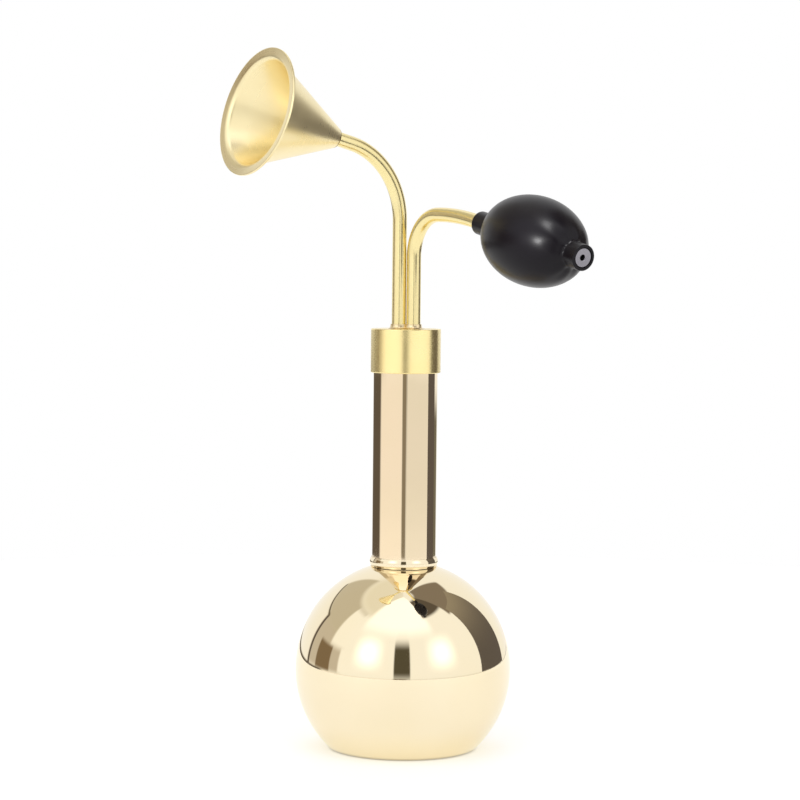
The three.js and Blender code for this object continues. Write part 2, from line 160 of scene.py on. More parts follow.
class Bench:
    """A node tree and the ways to add to it."""

    # a Mix node's sockets share their names, so its colours go by number
    first_colour = 6
    second_colour = 7
    mixed_colour = 2

    def __init__(self, tree: bpy.types.NodeTree) -> None:
        """Clears the tree.

        Args:
            tree: the node tree of a material or a world.
        """
        self.tree = tree
        tree.nodes.clear()

    def node(
        self,
        kind: str,
        settings: Optional[dict[str, object]] = None,
        sockets: Optional[Sockets] = None,
        output: Union[str, int] = 0,
    ) -> Wire:
        """Adds a node: its settings first, then the values or links of its sockets.

        Args:
            kind: the node's type name.
            settings: properties of the node, with a ramp's two stops under "stops".
            sockets: values or wires by the socket's name or number.
            output: the output that the returned wire holds.

        Returns:
            The wire of that output.
        """
        made = self.tree.nodes.new(kind)
        for name, setting in (settings or {}).items():
            if name == "stops":
                self._set_stops(made.color_ramp, setting)
            else:
                setattr(made, name, setting)
        for name, value in (sockets or {}).items():
            socket = made.inputs[name]
            if isinstance(value, Wire):
                self.tree.links.new(value.socket, socket)
            elif isinstance(value, tuple) and socket.type == "RGBA":
                socket.default_value = (*value, 1.0)
            else:
                socket.default_value = value
        outputs = made.outputs
        return Wire(self, outputs[output]) if len(outputs) else Wire(self, None)

    @staticmethod
    def _set_stops(ramp: bpy.types.ColorRamp, stops: Point) -> None:
        """Sets where a ramp is black and where it is white.

        Args:
            ramp: the ramp, which starts with two stops.
            stops: the position of each.
        """
        for level, (element, position) in enumerate(zip(ramp.elements, stops)):
            element.position = position
            element.color = (level, level, level, 1.0)

    def math(self, operation: str, *values: Value) -> Wire:
        """Adds a Math node and returns its result."""
        return self.node("ShaderNodeMath", {"operation": operation}, dict(enumerate(values)))

    def vector(self, operation: str, *values: Value, output: str = "Vector") -> Wire:
        """Adds a Vector Math node and returns one of its outputs."""
        return self.node("ShaderNodeVectorMath", {"operation": operation}, dict(enumerate(values)), output)

    def scaled(self, vector: Value, share: Value) -> Wire:
        """Scales a vector."""
        return self.node("ShaderNodeVectorMath", {"operation": "SCALE"}, {0: vector, "Scale": share})

    def dot(self, first: Value, second: Value) -> Wire:
        """Tells how far one vector reaches along another."""
        return self.vector("DOT_PRODUCT", first, second, output="Value")

    def length(self, vector: Value) -> Wire:
        """Measures a vector."""
        return self.vector("LENGTH", vector, output="Value")

    def mix(self, share: Value, first: Value, second: Value) -> Wire:
        """Mixes two colours.

        Args:
            share: how much of the second colour shows.
            first: the colour at a share of 0.
            second: the colour at a share of 1.

        Returns:
            The mixed colour.
        """
        settings = {"data_type": "RGBA", "clamp_factor": True}
        sockets = {"Factor": share, self.first_colour: first, self.second_colour: second}
        return self.node("ShaderNodeMix", settings, sockets, self.mixed_colour)

    def ramp(self, share: Wire, start: float, end: float) -> Wire:
        """Rises evenly from 0 at a start to 1 at an end."""
        return self.node("ShaderNodeValToRGB", {"stops": (start, end)}, {"Fac": share})

    def step(self, value: Wire, low: float, high: float) -> Wire:
        """Rises smoothly from 0 at low to 1 at high."""
        settings = {"interpolation_type": "SMOOTHSTEP"}
        sockets = {"Value": value, "From Min": low, "From Max": high}
        return self.node("ShaderNodeMapRange", settings, sockets)

    def noise(self, place: Wire, size: float, detail: float = 3.0, roughness: float = 0.5) -> Wire:
        """Adds cloudy noise.

        Args:
            place: the position that it is read at.
            size: the width of one cloud in metres.
            detail: the number of finer layers.
            roughness: the weight of the finer layers.

        Returns:
            A value about 0.5.
        """
        sockets = {"Vector": place, "Scale": 1 / size, "Detail": detail, "Roughness": roughness}
        return self.node("ShaderNodeTexNoise", {"noise_dimensions": "3D"}, sockets)

    def lines(self, along: Wire, pitch: float) -> Wire:
        """Adds uneven lines that follow one another along a distance.

        Args:
            along: the distance in metres.
            pitch: the mean distance between lines.

        Returns:
            A value about 0.5.
        """
        sockets = {"W": along * (1 / pitch), "Scale": 1.0, "Detail": 2.0}
        return self.node("ShaderNodeTexNoise", {"noise_dimensions": "1D"}, sockets)

    def bump(self, height: Wire, depth: float, under: Optional[Wire] = None) -> Wire:
        """Turns a height of 0 to 1 into a normal.

        Args:
            height: the height.
            depth: the height of 1 in metres.
            under: the normal that it adds to.

        Returns:
            The normal.
        """
        sockets: Sockets = {"Height": height, "Distance": depth, "Strength": 1.0}
        if under is not None:
            sockets["Normal"] = under
        return self.node("ShaderNodeBump", None, sockets)


@dataclass(frozen=True)
class Axis:
    """A line that a piece is turned about."""

    origin: Place = (0.0, 0.0, 0.0)
    direction: Place = UPWARDS

    @classmethod
    def of(cls, place: Matrix) -> "Axis":
        """The local Z axis of a place."""
        return cls(tuple(place.translation), tuple(place.col[2].xyz))


@dataclass(frozen=True)
class Finish:
    """What every finish has: its own name, the record's slot for it, if any, and a main colour."""

    name: str
    slot: Optional[Slot]
    colour: Colour

    @functools.cache
    def material(self) -> bpy.types.Material:
        """Makes the material once.

        Returns:
            The material.
        """
        material = bpy.data.materials.new(self.name)
        material.use_nodes = True
        bench = Bench(material.node_tree)
        coordinates = bench.node("ShaderNodeTexCoord", output="Object")
        surface = bench.node("ShaderNodeBsdfPrincipled", None, self.surface(bench, coordinates))
        bench.node("ShaderNodeOutputMaterial", None, {"Surface": surface})
        return material

    def surface(self, bench: Bench, place: Wire) -> Sockets:
        """Says what the Principled shader's sockets take.

        Args:
            bench: the material's bench.
            place: the position on the piece, in metres.

        Returns:
            Values and wires by socket name.
        """
        raise NotImplementedError


@dataclass(frozen=True)
class Metal(Finish):
    """A bare metal with smudges, slow ripples and the maker's grain, and a painted shade at a seam where
    one is given.
    """

    tint: Colour
    roughness: float
    haze: float
    grain: Grain
    grain_pitch: float
    grain_depth: float
    ripple_depth: float
    axis: Axis = Axis()
    seam: float = 0.0  # width of the painted shade at the axis's origin, where the piece meets the one it fits on

    cloud_size = 0.045
    smudge_size = 0.016
    ripple_size = 0.012
    marks_haze = 0.5
    streak_share = 0.985
    # colour of the painted shade at a seam
    painted_seam_shade = (0.36, 0.27, 0.12)

    def surface(self, bench: Bench, place: Wire) -> Sockets:
        """See Finish.surface."""
        cloud = bench.ramp(bench.noise(place, self.cloud_size), start=0.3, end=0.7)
        smears = bench.noise(place, self.smudge_size, detail=6.0, roughness=0.6)
        smudge = bench.ramp(smears, start=0.45, end=0.75)
        ripple = bench.bump(bench.noise(place, self.ripple_size, detail=1.0), self.ripple_depth)
        marks = self._grain(bench, place)
        colour = bench.mix(cloud, self.colour, self.tint)
        # painted shade: a dark band round the axis's origin stands in for the shade in the joint
        if self.seam:
            seam_shade_share = 1 - bench.step(abs(self._height(bench, place)), self.seam / 2, self.seam)
            colour = bench.mix(seam_shade_share, colour, self.painted_seam_shade)
        return {
            "Base Color": colour,
            "Metallic": 1.0,
            "Roughness": self.roughness + self.haze * (smudge + self.marks_haze * marks),
            "Normal": bench.bump(marks, self.grain_depth, ripple),
        }

    def _grain(self, bench: Bench, place: Wire) -> Wire:
        """Makes the maker's marks.

        Args:
            bench: the material's bench.
            place: the position on the piece.

        Returns:
            The height of the marks, about 0.5.
        """
        if self.grain is Grain.BUFFED:
            return bench.noise(place, self.grain_pitch, detail=2.0)
        arm = bench.vector("SUBTRACT", place, self.axis.origin)
        height = self._height(bench, place)
        climb = bench.scaled(self.axis.direction, height)
        if self.grain is Grain.TURNED:
            reach = bench.length(bench.vector("SUBTRACT", arm, climb))
            return bench.lines(height + reach, self.grain_pitch)
        drawn = bench.vector("SUBTRACT", arm, bench.scaled(climb, self.streak_share))
        return bench.noise(drawn, self.grain_pitch, detail=2.0)

    def _height(self, bench: Bench, place: Wire) -> Wire:
        """The distance along the axis from its origin."""
        return bench.dot(bench.vector("SUBTRACT", place, self.axis.origin), self.axis.direction)


@dataclass(frozen=True)
class Rubber(Finish):
    """Moulded rubber with a soft shine and a little bloom."""

    bloom: Colour
    roughness: float
    shine: float

    bloom_size = 0.02
    bloom_haze = 0.06
    skin_size = 0.0012
    skin_depth = 0.000001
    skin_haze = 0.04
    sag_size = 0.014
    sag_depth = 0.00004

    def surface(self, bench: Bench, place: Wire) -> Sockets:
        """See Finish.surface."""
        powder = bench.noise(place, self.bloom_size, detail=5.0, roughness=0.6)
        bloom = bench.ramp(powder, start=0.4, end=0.8)
        skin = bench.noise(place, self.skin_size)
        sag = bench.bump(bench.noise(place, self.sag_size, detail=1.0), self.sag_depth)
        return {
            "Base Color": bench.mix(bloom, self.colour, self.bloom),
            "Roughness": self.roughness + self.bloom_haze * bloom + self.skin_haze * skin,
            "Specular IOR Level": self.shine,
            "Normal": bench.bump(skin, self.skin_depth, sag),
        }


@dataclass(frozen=True)
class Plastic(Finish):
    """Milky drawn plastic."""

    tint: Colour
    roughness: float

    cloud_size = 0.01
    cloud_haze = 0.2
    skin_size = 0.002
    skin_depth = 0.00001

    def surface(self, bench: Bench, place: Wire) -> Sockets:
        """See Finish.surface."""
        cloud = bench.noise(place, self.cloud_size, detail=4.0)
        return {
            "Base Color": bench.mix(cloud, self.colour, self.tint),
            "Roughness": self.roughness + self.cloud_haze * cloud,
            "Normal": bench.bump(bench.noise(place, self.skin_size), self.skin_depth),
        }


@dataclass(frozen=True)
class Felt(Finish):
    """Pressed wool with loose fibres and flecks."""

    fleck: Colour

    fibre_size = 0.0006
    fibre_depth = 0.0003
    fibre_haze = 0.1
    fleck_size = 0.0025
    roughness = 0.9
    sheen = 0.3

    def surface(self, bench: Bench, place: Wire) -> Sockets:
        """See Finish.surface."""
        fibre = bench.noise(place, self.fibre_size, detail=5.0, roughness=0.7)
        specks = bench.noise(place, self.fleck_size, detail=4.0, roughness=0.7)
        fleck = bench.ramp(specks, start=0.5, end=0.7)
        return {
            "Base Color": bench.mix(fleck, self.colour, self.fleck),
            "Roughness": self.roughness + self.fibre_haze * fibre,
            "Normal": bench.bump(fibre, self.fibre_depth),
            "Sheen Weight": self.sheen,
        }


@dataclass(frozen=True)
class FloorPaint(Finish):
    """Pale paint that glows evenly, with a painted pool of warm light round the flask and a painted shadow
    under its foot.
    """

    roughness: float = 0.7
    glow: Colour = (1.0, 1.0, 0.995)
    glow_strength: float = 0.55
    # painted warm light: round the flask the glow turns warmer, standing in for the light that the brass
    # throws on the floor
    painted_warm_reach: float = 0.05
    painted_warm_light: Colour = (1.0, 0.97, 0.84)
    # painted shadow: under the flask's foot the glow falls to a dim brown, where the foot shades the floor
    painted_shadow_radius: float = 0.0312
    painted_shadow_blur: float = 0.001
    painted_shadow_glow: Colour = (0.5, 0.48, 0.42)

    def surface(self, bench: Bench, place: Wire) -> Sockets:
        """See Finish.surface."""
        reach = bench.length(place)
        # painted shadow: the floor glows fully outside the foot and dimly under it
        lit = bench.step(reach, self.painted_shadow_radius - self.painted_shadow_blur, self.painted_shadow_radius + self.painted_shadow_blur)
        # painted warm light: warmest next to the foot, plain glow beyond this reach
        past_painted_warmth = bench.step(reach, self.painted_shadow_radius, self.painted_warm_reach)
        glow = bench.mix(past_painted_warmth, self.painted_warm_light, self.glow)
        return {
            "Base Color": self.colour,
            "Roughness": self.roughness,
            "Emission Color": bench.mix(lit, self.painted_shadow_glow, glow),
            "Emission Strength": self.glow_strength,
        }


@dataclass(frozen=True)
class CardPaper(Finish):
    """Paper of one shade at its foot that fades to another, whatever light falls on it."""

    top_colour: Colour
    fade_start: float
    fade_end: float

    def surface(self, bench: Bench, place: Wire) -> Sockets:
        """See Finish.surface."""
        fade = bench.step(bench.dot(place, UPWARDS), self.fade_start, self.fade_end)
        return {
            "Base Color": (0.0, 0.0, 0.0),
            "Specular IOR Level": 0.0,
            "Emission Color": bench.mix(fade, self.colour, self.top_colour),
            "Emission Strength": 1.0,
        }


POLISHED_BRASS = Metal(
    "mirror_brass", Slot.POLISHED_BRASS, colour=(0.93, 0.82, 0.60), tint=(0.92, 0.80, 0.56),
    roughness=0.02, haze=0.03, grain=Grain.BUFFED, grain_pitch=0.0008, grain_depth=1e-7, ripple_depth=6e-6,
)
ROSE_BRASS = Metal(
    "mirror_rose_brass", Slot.ROSE_BRASS, colour=(0.95, 0.79, 0.58), tint=(0.91, 0.77, 0.54),
    roughness=0.02, haze=0.03, grain=Grain.DRAWN, grain_pitch=0.0006, grain_depth=2e-7, ripple_depth=2e-5,
)
SATIN_BRASS = Metal(
    "lathe_brass", Slot.SATIN_BRASS, colour=(0.94, 0.79, 0.41), tint=(0.92, 0.76, 0.36),
    roughness=0.22, haze=0.08, grain=Grain.TURNED, grain_pitch=0.0005, grain_depth=2e-6, ripple_depth=4e-6,
)
HORN_BRASS = replace(
    SATIN_BRASS, name="horn_brass", colour=(0.95, 0.83, 0.52), tint=(0.93, 0.80, 0.47), roughness=0.26
)
TUBE_BRASS = Metal(
    "pipe_brass", Slot.TUBE_BRASS, colour=(0.93, 0.81, 0.44), tint=(0.92, 0.78, 0.39),
    roughness=0.2, haze=0.06, grain=Grain.BUFFED, grain_pitch=0.0009, grain_depth=1e-7, ripple_depth=2e-6,
)
SOLDER = Metal(
    "flowed_solder", Slot.SOLDER, colour=(0.90, 0.76, 0.48), tint=(0.84, 0.68, 0.42),
    roughness=0.24, haze=0.15, grain=Grain.BUFFED, grain_pitch=0.0007, grain_depth=1e-5, ripple_depth=4e-5,
)
VALVE_STEEL = Metal(
    "turned_steel", Slot.VALVE_STEEL, colour=(0.33, 0.32, 0.35), tint=(0.27, 0.26, 0.29),
    roughness=0.2, haze=0.1, grain=Grain.TURNED, grain_pitch=0.0003, grain_depth=1.2e-5, ripple_depth=4e-6,
)
BLACK_RUBBER = Rubber(
    "moulded_rubber", Slot.BLACK_RUBBER, colour=(0.0045, 0.0033, 0.0056), bloom=(0.0075, 0.006, 0.0088),
    roughness=0.27, shine=0.2,
)
MILKY_PLASTIC = Plastic(
    "drawn_plastic", Slot.MILKY_PLASTIC, colour=(0.80, 0.79, 0.74), tint=(0.72, 0.71, 0.66), roughness=0.25
)
FELT = Felt("pressed_felt", Slot.FELT, colour=(0.80, 0.74, 0.62), fleck=(0.66, 0.58, 0.45))
FLOOR_PAINT = FloorPaint("pale_floor", None, colour=(0.55, 0.55, 0.548))


class Outline:
    """A closed outline of (radius, height) points, with rounded corners."""

    round_steps = 4
    hold_share = 1.3  # where a rounding's last flat points lie, next to its ends

    def __init__(self) -> None:
        """Starts with no points."""
        self._points: list[Point] = []
        self._roundings: list[float] = []

    def corner(self, radius: float, height: float, rounding: float = 0.0) -> "Outline":
        """Adds a corner.

        Args:
            radius: distance from the axis.
            height: distance along the axis.
            rounding: how far back the corner is rounded on each side.

        Returns:
            The outline.
        """
        self._points.append((radius, height))
        self._roundings.append(rounding)
        return self

    @classmethod
    def band(cls, inner: float, outer: float, bottom: float, top: float, edge: float = 0.0) -> "Outline":
        """Draws a plain ring, or a disc where the inner radius is 0.

        Args:
            inner: the inner radius.
            outer: the outer radius.
            bottom: height of the lower face.
            top: height of the upper face.
            edge: how far back the edges are rounded.

        Returns:
            The outline.
        """
        inner_edge = edge if inner else 0.0
        outline = cls().corner(inner, bottom, inner_edge).corner(outer, bottom, edge)
        return outline.corner(outer, top, edge).corner(inner, top, inner_edge)

    def straight(self, radius: float, height: float, steps: int) -> "Outline":
        """Adds a straight run from the last point, in even steps."""
        first_radius, first_height = self._points[-1]
        for step in range(1, steps + 1):
            share = step / steps
            self.corner(
                first_radius + share * (radius - first_radius),
                first_height + share * (height - first_height),
            )
        return self

    def arc(self, centre: float, radii: Point, start: float, end: float, steps: int) -> "Outline":
        """Adds an arc of an ellipse that is centred on the axis.

        Args:
            centre: height of the ellipse's centre.
            radii: its radius across and along the axis.
            start: first angle above the ellipse's equator.
            end: last angle.
            steps: number of chords.

        Returns:
            The outline.
        """
        for step in range(steps + 1):
            angle = start + (end - start) * step / steps
            self.corner(radii[0] * math.cos(angle), centre + radii[1] * math.sin(angle))
        return self

    def bend(self, control: Point, end: Point, steps: int = 6) -> "Outline":
        """Adds a curve from the last point towards a control point and on to an end."""
        start = Vector(self._points[-1])
        for step in range(1, steps + 1):
            share = step / steps
            near = start.lerp(Vector(control), share)
            far = Vector(control).lerp(Vector(end), share)
            self.corner(*near.lerp(far, share))
        return self

    def points(self) -> list[Point]:
        """Works out the outline with its corners rounded.

        Returns:
            The points in order.
        """
        found: list[Point] = []
        count = len(self._points)
        for index, rounding in enumerate(self._roundings):
            here = Vector(self._points[index])
            if rounding == 0.0:
                found.append(tuple(here))
                continue
            before = (Vector(self._points[index - 1]) - here).normalized() * rounding
            after = (Vector(self._points[(index + 1) % count]) - here).normalized() * rounding
            found.append(tuple(here + before * self.hold_share))
            for step in range(self.round_steps + 1):
                share = step / self.round_steps
                near = (here + before).lerp(here, share)
                far = here.lerp(here + after, share)
                found.append(tuple(near.lerp(far, share)))
            found.append(tuple(here + after * self.hold_share))
        return found


class Spine:
    """A straight axis that an outline is turned about."""

    def __init__(self, place: Optional[Matrix] = None) -> None:
        """Sets the spine along the local Z of a place.

        Args:
            place: the frame at height 0, or the flask's own frame.
        """
        self.place = place or Matrix.Identity(4)

    def at(self, distance: float) -> Matrix:
        """The frame at a distance along the spine, with its Z along it."""
        return self.place @ Matrix.Translation((0.0, 0.0, distance))


@dataclass(frozen=True)
class Stretch:
    """A length of tube that turns evenly."""

    length: float
    turn: float = 0.0


class BentSpine(Spine):
    """A tube's centre line, which starts upwards and turns over in one upright plane."""

    def __init__(self, foot: Vector, bearing: float, stretches: Sequence[Stretch]) -> None:
        """Sets the line out.

        Args:
            foot: its lower end.
            bearing: the direction it turns over to, about +Z from +X.
            stretches: its stretches in order.
        """
        super().__init__(Matrix.Translation(foot) @ Matrix.Rotation(bearing, 4, "Z"))
        self.stretches = stretches
        self.reach = sum(stretch.length for stretch in stretches)

    def at(self, distance: float) -> Matrix:
        """See Spine.at. The line goes on straight past its ends."""
        frame_here = self.place.copy()
        left = distance
        for index, stretch in enumerate(self.stretches):
            last = index == len(self.stretches) - 1
            run = left if last else min(left, stretch.length)
            if stretch.turn:
                radius = stretch.length / stretch.turn
                centre = Matrix.Translation((radius, 0.0, 0.0))
                turn = Matrix.Rotation(run / radius, 4, "Y")
                frame_here = frame_here @ centre @ turn @ centre.inverted()
            else:
                frame_here = frame_here @ Matrix.Translation((0.0, 0.0, run))
            left -= run
            if left <= 0.0:
                break
        return frame_here


class Maker:
    """Makes meshes."""

    sharp_angle = math.radians(40)

    @classmethod
    def object_of(cls, name: str, shape: bmesh.types.BMesh) -> bpy.types.Object:
        """Turns a bmesh into an object in the scene.

        Args:
            name: the piece's name.
            shape: the mesh, which is used up.

        Returns:
            The object.
        """
        bmesh.ops.recalc_face_normals(shape, faces=shape.faces)
        mesh = bpy.data.meshes.new(name)
        shape.to_mesh(mesh)
        shape.free()
        piece = bpy.data.objects.new(name, mesh)
        bpy.context.scene.collection.objects.link(piece)
        cls.smooth(piece)
        return piece

    @classmethod
    def smooth(cls, piece: bpy.types.Object) -> None:
        """Shades a piece smoothly, apart from its sharp edges."""
        piece.data.shade_smooth()
        piece.data.set_sharp_from_angle(angle=cls.sharp_angle)

    @classmethod
    def turned(
        cls,
        name: str,
        outline: Outline,
        sides: int,
        spine: Optional[Spine] = None,
        relief: Optional[Relief] = None,
    ) -> bpy.types.Object:
        """Turns an outline about a spine.

        Args:
            name: the piece's name.
            outline: the outline.
            sides: number of steps round.
            spine: the spine, or the flask's own axis.
            relief: changes a radius, given the radius, the height and the angle round the spine.

        Returns:
            The piece.
        """
        spine = spine or Spine()
        shape = bmesh.new()
        rings = []
        for radius, height in outline.points():
            place = spine.at(height)
            count = sides if radius > 0.0 else 1
            ring = []
            for side in range(count):
                angle = FULL_TURN * side / sides
                reach = relief(radius, height, angle) if relief else radius
                spot = Vector((reach * math.cos(angle), reach * math.sin(angle), 0.0))
                ring.append(shape.verts.new(place @ spot))
            rings.append(ring)
        for ring, following in zip(rings, rings[1:] + rings[:1]):
            cls._bridge(shape, ring, following)
        return cls.object_of(name, shape)

    @staticmethod
    def _bridge(shape: bmesh.types.BMesh, ring: list, following: list) -> None:
        """Joins two rings of points, either of which may be one point on the axis."""
        count = max(len(ring), len(following))
        if count == 1:
            return
        for side in range(count):
            after = (side + 1) % count
            face = [ring[side % len(ring)]]
            if len(ring) > 1:
                face.append(ring[after])
            face.append(following[after % len(following)])
            if len(following) > 1:
                face.append(following[side])
            shape.faces.new(face)

    @classmethod
    def joined(cls, piece: bpy.types.Object, other: bpy.types.Object, join: Join) -> bpy.types.Object:
        """Adds another solid to a piece or cuts it out, and uses it up.

        Args:
            piece: the piece that stays.
            other: the solid that is used up.
            join: which of the two is done.

        Returns:
            The piece.
        """
        modifier = piece.modifiers.new(join.name.lower(), "BOOLEAN")
        modifier.solver = "EXACT"
        modifier.operation = join.value
        modifier.object = other
        depsgraph = bpy.context.evaluated_depsgraph_get()
        before = piece.data
        piece.data = bpy.data.meshes.new_from_object(piece.evaluated_get(depsgraph))
        piece.modifiers.clear()
        bpy.data.meshes.remove(before)
        bpy.data.objects.remove(other)
        cls.smooth(piece)
        return piece


@dataclass(frozen=True)
class Extent:
    """How wide a node is about the flask's axis, and where it starts and ends."""

    radius: float
    bottom: float
    top: float

    @classmethod
    def of(cls, node: str) -> "Extent":
        """Measures a node of the frame."""
        low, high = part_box(node)
        return cls((high.x - low.x) / 2, low.z, high.z)


class SubAssembly:
    """What the sub-assemblies share: the way a finished piece is handed over."""

    @staticmethod
    def stand_in(piece: bpy.types.Object, finish: Finish, *nodes: str) -> None:
        """Dresses a piece and puts it in place of its nodes.

        Args:
            piece: the piece.
            finish: its finish.
            nodes: the nodes that it stands for.
        """
        piece.data.materials.clear()
        piece.data.materials.append(finish.material())
        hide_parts(*nodes)

    @classmethod
    def fit(cls, piece: bpy.types.Object, finish: Finish, body: Body, *nodes: str) -> None:
        """Dresses a piece and lets it ride in place of its nodes.

        Args:
            piece: the piece.
            finish: its finish.
            body: the body that carries it.
            nodes: the nodes that it stands for.
        """
        cls.stand_in(piece, finish, *nodes)
        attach(piece, body.value)
        log.info("%s: %d faces, rides on %s", piece.name, len(piece.data.polygons), body.value)

    @staticmethod
    def dress(node: str, finish: Finish) -> None:
        """Gives a node that stays as it is a finish."""
        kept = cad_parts[node]
        kept.data.materials.clear()
        kept.data.materials.append(finish.material())
        log.info("%s: kept, in %s", node, finish.name)


@dataclass
class Bowl(SubAssembly):
    """The polished ball with its flat base, and the felt pad inside it."""

    wall: float = 0.0009
    floor: float = 0.001
    base_edge: float = 0.0016
    ball_steps: int = 72
    hollow_steps: int = 36
    pad_edge: float = 0.001
    pad_sway: float = 0.0003
    pad_lobes: int = 7
    pad_slant: float = 900.0

    def build(self) -> None:
        """Builds and dresses the bowl and the pad."""
        lower = Extent.of("bowl_lower")
        hole = Extent.of("neck_tube").radius + SLIP_GAP
        radius, centre = lower.radius, lower.top
        base = math.sqrt(radius**2 - centre**2)
        inside = radius - self.wall
        edge = -math.asin(centre / radius) + self.base_edge / radius
        floor_angle = -math.asin((centre - self.floor) / inside)
        outline = Outline().corner(0.0, 0.0).corner(base - self.base_edge, 0.0)
        outline.bend((base, 0.0), (radius * math.cos(edge), centre + radius * math.sin(edge)))
        outline.arc(centre, (radius, radius), edge, math.acos(hole / radius), self.ball_steps)
        outline.arc(centre, (inside, inside), math.acos(hole / inside), floor_angle, self.hollow_steps)
        outline.corner(0.0, self.floor)
        bowl = Maker.turned("bowl", outline, WIDE_SIDES)
        self.fit(bowl, POLISHED_BRASS, Body.FLASK, "bowl_lower", "bowl_upper")
        self._pad()

    def _pad(self) -> None:
        """Builds and dresses the felt pad, whose cut edge is a little uneven."""
        pad = Extent.of("scent_pad")
        outline = Outline.band(0.0, pad.radius, pad.bottom, pad.top, self.pad_edge)

        def ragged(radius: float, height: float, angle: float) -> float:
            """Draws the cut edge in and out a little."""
            wave = math.sin(self.pad_lobes * angle + self.pad_slant * height)
            return radius - self.pad_sway * (1 + wave) / 2

        felt = Maker.turned("felt_pad", outline, SMALL_SIDES, relief=ragged)
        self.fit(felt, FELT, Body.FLASK, "scent_pad")


@dataclass
class Thread:
    """A two-start right-hand screw thread."""

    starts: int = 2
    lead: float = 0.005
    turn: float = 0.75 * FULL_TURN
    root_width: float = 0.0012
    crest_width: float = 0.0006
    depth: float = 0.0008
    gap: float = 0.0003
    sunk: float = 0.00025
    steps: int = 96

    def cut(self, wall: bpy.types.Object, root: float, crest: float, start: float) -> None:
        """Adds the ridges to a wall.

        Args:
            wall: the piece that carries the thread.
            root: the wall's radius.
            crest: the ridges' outer or inner radius.
            start: height of the ridges' lower ends.
        """
        for number in range(self.starts):
            ridge = self._ridge(root, crest, FULL_TURN * number / self.starts, start)
            Maker.joined(wall, ridge, Join.ADD)

    def _ridge(self, root: float, crest: float, bearing: float, start: float) -> bpy.types.Object:
        """Builds one ridge of trapezoid section.

        Args:
            root: the wall's radius.
            crest: the ridge's far radius.
            bearing: where it starts round the axis.
            start: where it starts along the axis.

        Returns:
            The ridge.
        """
        sunk = root - math.copysign(self.sunk, crest - root)
        half_root, half_crest = self.root_width / 2, self.crest_width / 2
        section = (
            (sunk, -half_root),
            (root, -half_root),
            (crest, -half_crest),
            (crest, half_crest),
            (root, half_root),
            (sunk, half_root),
        )
        shape = bmesh.new()
        rings = []
        for step in range(self.steps + 1):
            turn = self.turn * step / self.steps
            lift = start + self.lead * turn / FULL_TURN
            angle = bearing + turn
            ring = [(r * math.cos(angle), r * math.sin(angle), lift + h) for r, h in section]
            rings.append([shape.verts.new(spot) for spot in ring])
        count = len(section)
        for ring, following in zip(rings, rings[1:]):
            for corner in range(count):
                after = (corner + 1) % count
                shape.faces.new((ring[corner], ring[after], following[after], following[corner]))
        shape.faces.new(rings[0])
        shape.faces.new(rings[-1])
        return Maker.object_of("ridge", shape)


@dataclass
class Neck(SubAssembly):
    """The straight tube, its half-round bead and the threaded finish under the cap."""

    thread: Thread
    wall: float = 0.0009
    rim: float = 0.0002
    bead_land: float = 0.00035
    bead_steps: int = 16
    finish_wall: float = 0.0016
    finish_inset: float = 0.0005
    finish_flange: float = 0.001
    thread_run_in: float = 0.0004

    def build(self) -> None:
        """Builds and dresses the neck's pieces."""
        tube = Extent.of("neck_tube")
        outline = Outline.band(tube.radius - self.wall, tube.radius, tube.bottom, tube.top, self.rim)
        neck = Maker.turned("neck", outline, WIDE_SIDES)
        self.fit(neck, ROSE_BRASS, Body.FLASK, "neck_tube")
        self._bead(tube)
        self._finish(tube)

    def _bead(self, tube: Extent) -> None:
        """Builds and dresses the bead round the foot of the neck."""
        bead = Extent.of("neck_bead")
        inner = tube.radius + SLIP_GAP
        land = inner + self.bead_land
        middle = (bead.bottom + bead.top) / 2
        crown = 2 * bead.radius - land
        outline = Outline().corner(inner, bead.bottom).corner(land, bead.bottom)
        outline.bend((crown, middle), (land, bead.top), self.bead_steps).corner(inner, bead.top)
        ring = Maker.turned("bead", outline, WIDE_SIDES)
        self.fit(ring, POLISHED_BRASS, Body.FLASK, "neck_bead")

    def _finish(self, tube: Extent) -> None:
        """Builds and dresses the threaded bush in the top of the neck."""
        bush = Extent.of("neck_finish")
        spigot = tube.radius - self.wall - SLIP_GAP
        flange = tube.top + SLIP_GAP
        shoulder = self.shoulder(tube)
        root = self.crest(tube) - self.thread.depth
        bore = root - self.finish_wall
        outline = Outline().corner(bore, bush.bottom, self.rim).corner(spigot, bush.bottom, self.rim)
        outline.corner(spigot, flange).corner(tube.radius, flange, self.rim)
        outline.corner(tube.radius, shoulder, self.rim).corner(root, shoulder)
        outline.corner(root, bush.top, self.rim).corner(bore, bush.top, self.rim)
        finish = Maker.turned("neck_finish_bush", outline, WIDE_SIDES)
        self.thread.cut(finish, root, self.crest(tube), self.thread_start(tube))
        self.fit(finish, POLISHED_BRASS, Body.FLASK, "neck_finish")

    def shoulder(self, tube: Extent) -> float:
        """Height of the flange that the threaded stretch stands on."""
        return tube.top + SLIP_GAP + self.finish_flange

    def crest(self, tube: Extent) -> float:
        """Radius of the finish's thread over its ridges."""
        return tube.radius - self.finish_inset

    def thread_start(self, tube: Extent) -> float:
        """Height of the ridges' lower ends."""
        return self.shoulder(tube) + self.thread_run_in + self.thread.root_width / 2


